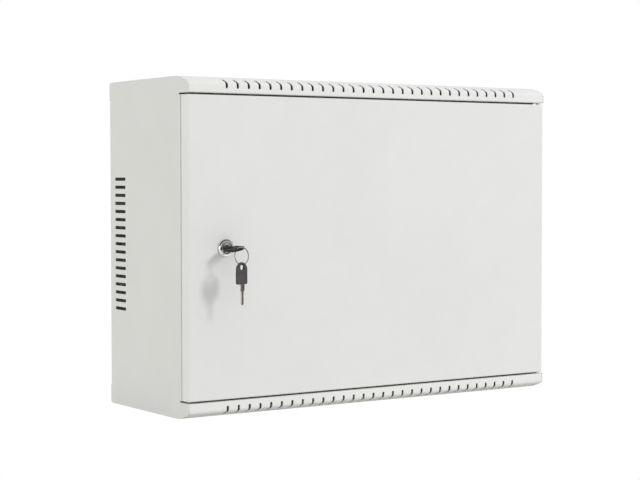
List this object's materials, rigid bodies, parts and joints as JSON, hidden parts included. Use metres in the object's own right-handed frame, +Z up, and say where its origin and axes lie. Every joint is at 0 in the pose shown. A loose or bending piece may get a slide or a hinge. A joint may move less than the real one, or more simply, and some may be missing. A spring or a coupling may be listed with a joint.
{
  "type": "network wall cabinet",
  "caption": "Shallow wall-mount steel network cabinet with a full-width hinged locking door, vented nose strips and sides, internal rack rails and keys in the lock.",
  "frame": {"origin": "centre of the four wall-fixing holes, on the wall face of the rear panel", "axes": "+X to the right seen from the front, +Y from the door towards the wall, +Z up; the door faces -Y"},
  "size_m": [0.54, 0.2449, 0.4],
  "materials": {
    "body_paint": "light grey powder coat, fine texture",
    "door_paint": "light grey powder coat, fine texture",
    "inner_paint": "light grey powder coat",
    "zinc_sheet": "bright zinc plate",
    "zinc_fastener": "zinc plate",
    "spring_steel": "polished spring steel",
    "hinge_steel": "turned, zinc plate",
    "hinge_plastic": "satin",
    "rubber": "matt black",
    "foam": "matt black foam",
    "brush": "black nylon bristle",
    "copper_lug": "tinned copper",
    "wire_sleeve": "green insulation with a yellow stripe",
    "chrome": "polished",
    "lock_metal": "satin nickel",
    "key_steel": "nickel-plated",
    "key_plastic": "satin black"
  },
  "bodies": {
    "cabinet": {"left_side_panel": "body_paint", "right_side_panel": "body_paint", "top_cover": "body_paint", "bottom_cover": "body_paint", "rear_panel": "body_paint", "rear_panel_studs": "zinc_fastener", "side_panel_studs": "zinc_fastener", "rear_panel_nuts": "zinc_fastener", "cover_nuts": "zinc_fastener", "rear_entry_trim": "rubber", "top_entry_plate": "inner_paint", "top_entry_screws": "zinc_fastener", "bottom_brush_strips": "inner_paint", "bottom_brush_bristles": "brush", "bottom_brush_screws": "zinc_fastener", "rack_rail_left": "zinc_sheet", "rack_rail_right": "zinc_sheet", "rail_nuts": "zinc_fastener", "cage_nut_clips": "spring_steel", "cage_nut_squares": "zinc_fastener", "earth_washers": "zinc_fastener", "earth_nuts": "zinc_fastener", "earth_lugs": "copper_lug", "earth_wire": "wire_sleeve", "upper_hinge_bush": "hinge_plastic", "lower_hinge_bush": "hinge_plastic"},
    "door": {"door_panel": "door_paint", "door_rib": "zinc_sheet", "door_gasket": "foam", "upper_hinge_bracket": "zinc_sheet", "lower_hinge_bracket": "zinc_sheet", "lower_hinge_pin": "hinge_steel", "lock_housing": "chrome", "lock_washer": "zinc_fastener", "lock_nut": "lock_metal"},
    "lock_core": {"lock_plug": "lock_metal", "lock_cam": "zinc_fastener", "cam_screw": "zinc_fastener", "cam_washer": "zinc_fastener"},
    "hinge_pin": {"upper_hinge_pin": "hinge_steel", "upper_hinge_pin_grip": "rubber", "upper_hinge_clip": "spring_steel", "upper_hinge_spring": "spring_steel"},
    "key": {"key_blade": "key_steel", "key_bow": "key_plastic"},
    "ring": {"key_ring": "spring_steel"},
    "spare_key": {"spare_key_blade": "key_steel", "spare_key_bow": "key_plastic"}
  },
  "joints": [
    {"name": "door_hinge", "type": "hinge", "parent": "cabinet", "child": "door", "pos_m": [0.2645, -0.195, 0], "axis": [0, 0, 1], "range_deg": [0, 120]},
    {"name": "upper_pin_slide", "type": "slide", "parent": "door", "child": "hinge_pin", "axis": [0, 0, -1], "range_m": [0, 0.0085], "deforming": ["upper_hinge_spring"]},
    {"name": "lock_turn", "type": "hinge", "parent": "door", "child": "lock_core", "pos_m": [-0.22, -0.2, 0], "axis": [0, -1, 0], "range_deg": [-14, 76]},
    {"name": "key_slide", "type": "slide", "parent": "lock_core", "child": "key", "axis": [0, -1, 0], "range_m": [0, 0.03]},
    {"name": "ring_swing", "type": "hinge", "parent": "key", "child": "ring", "pos_m": [-0.22, -0.2319, 0], "axis": [-0.9397, -0.342, 0], "range_deg": [0, 40]},
    {"name": "spare_key_swing", "type": "hinge", "parent": "ring", "child": "spare_key", "pos_m": [-0.21928, -0.23487, -0.0184], "axis": [0.342, -0.9397, 0], "range_deg": [-40, 40]}
  ]
}
